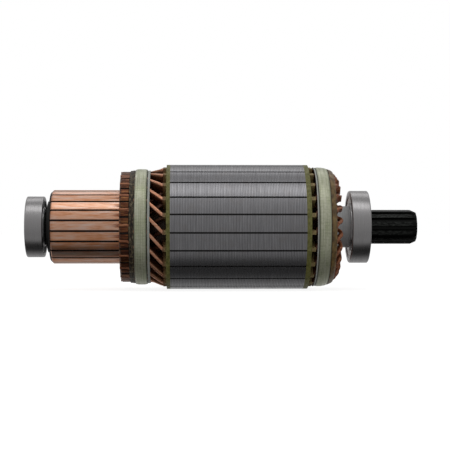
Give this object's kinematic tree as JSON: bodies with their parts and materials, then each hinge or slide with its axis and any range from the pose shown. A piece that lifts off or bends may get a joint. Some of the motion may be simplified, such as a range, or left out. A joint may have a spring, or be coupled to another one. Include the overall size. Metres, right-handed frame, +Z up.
{
  "type": "motor armature",
  "caption": "Wound motor armature with slotted lamination core, copper commutator, glass-banded winding, splined shaft end and a ball bearing at each end.",
  "frame": {"origin": "on the shaft's axis, in the middle of the drive end bearing's width", "axes": "+X along the shaft, from the commutator end to the splined drive end; +Z up"},
  "size_m": [0.3331, 0.1064, 0.1064],
  "materials": {
    "shaft_steel": "black oxide, turned and hobbed",
    "core_steel": "sheet edges under clear varnish",
    "olive_fibre": "varnished olive fibre",
    "liner_paper": "varnished insulating paper",
    "wedge_laminate": "dark resin laminate",
    "coil_copper": "bare copper bar under thin varnish",
    "bar_copper": "turned copper",
    "mica_plate": "pressed mica",
    "black_moulding": "phenolic moulding",
    "bush_steel": "turned steel",
    "lashing_cord": "resin-soaked cord",
    "band_glass": "glass tape in clear resin",
    "edge_tape": "pale woven tape",
    "brown_varnish": "brown varnished tape",
    "seal_rubber": "moulded black rubber",
    "shield_steel": "pressed sheet steel",
    "cage_steel": "pressed sheet steel",
    "bearing_steel": "ground bearing steel"
  },
  "bodies": {
    "rotor": {"armature_coils": "coil_copper", "bend_wrapping": "brown_varnish", "commutator_bar_01": "bar_copper", "commutator_bar_02": "bar_copper", "commutator_bar_03": "bar_copper", "commutator_bar_04": "bar_copper", "commutator_bar_05": "bar_copper", "commutator_bar_06": "bar_copper", "commutator_bar_07": "bar_copper", "commutator_bar_08": "bar_copper", "commutator_bar_09": "bar_copper", "commutator_bar_10": "bar_copper", "commutator_bar_11": "bar_copper", "commutator_bar_12": "bar_copper", "commutator_bar_13": "bar_copper", "commutator_bar_14": "bar_copper", "commutator_bar_15": "bar_copper", "commutator_bar_16": "bar_copper", "commutator_bar_17": "bar_copper", "commutator_bar_18": "bar_copper", "commutator_bar_19": "bar_copper", "commutator_bar_20": "bar_copper", "commutator_bar_21": "bar_copper", "commutator_bar_22": "bar_copper", "commutator_bush": "bush_steel", "commutator_end_bearing_inner_ring": "bearing_steel", "commutator_end_edge_tape": "edge_tape", "commutator_end_glass_band": "band_glass", "commutator_end_insulator": "olive_fibre", "commutator_end_winding_support": "wedge_laminate", "commutator_moulding": "black_moulding", "drive_end_bearing_inner_ring": "bearing_steel", "drive_end_edge_tape": "edge_tape", "drive_end_glass_band": "band_glass", "drive_end_insulator": "olive_fibre", "drive_end_winding_support": "wedge_laminate", "lamination_core": "core_steel", "layer_separators": "liner_paper", "lead_lashing": "lashing_cord", "lead_layer_insulator": "liner_paper", "mica_segments": "mica_plate", "shaft": "shaft_steel", "slot_liners": "liner_paper", "slot_wedges": "wedge_laminate"},
    "commutator_end_outer": {"commutator_end_bearing_inboard_seal": "seal_rubber", "commutator_end_bearing_outboard_seal": "seal_rubber", "commutator_end_bearing_outer_ring": "bearing_steel"},
    "drive_end_outer": {"drive_end_bearing_inboard_shield": "shield_steel", "drive_end_bearing_outboard_shield": "shield_steel", "drive_end_bearing_outer_ring": "bearing_steel"},
    "commutator_end_rolling": {"commutator_end_bearing_balls": "bearing_steel", "commutator_end_bearing_cage": "cage_steel"},
    "drive_end_rolling": {"drive_end_bearing_balls": "bearing_steel", "drive_end_bearing_cage": "cage_steel"}
  },
  "joints": [
    {"name": "commutator_end_ring_turn", "type": "hinge", "parent": "rotor", "child": "commutator_end_outer", "pos_m": [-0.276, 0, 0], "axis": [1, 0, 0], "continuous": true},
    {"name": "commutator_end_balls_turn", "type": "hinge", "parent": "rotor", "child": "commutator_end_rolling", "pos_m": [-0.276, 0, 0], "axis": [1, 0, 0], "continuous": true},
    {"name": "drive_end_ring_turn", "type": "hinge", "parent": "rotor", "child": "drive_end_outer", "pos_m": [0, 0, 0], "axis": [1, 0, 0], "continuous": true},
    {"name": "drive_end_balls_turn", "type": "hinge", "parent": "rotor", "child": "drive_end_rolling", "pos_m": [0, 0, 0], "axis": [1, 0, 0], "continuous": true}
  ],
  "couplings": [
    {"joint": "commutator_end_balls_turn", "follows": "commutator_end_ring_turn", "ratio": 0.6031},
    {"joint": "drive_end_balls_turn", "follows": "drive_end_ring_turn", "ratio": 0.6035}
  ]
}
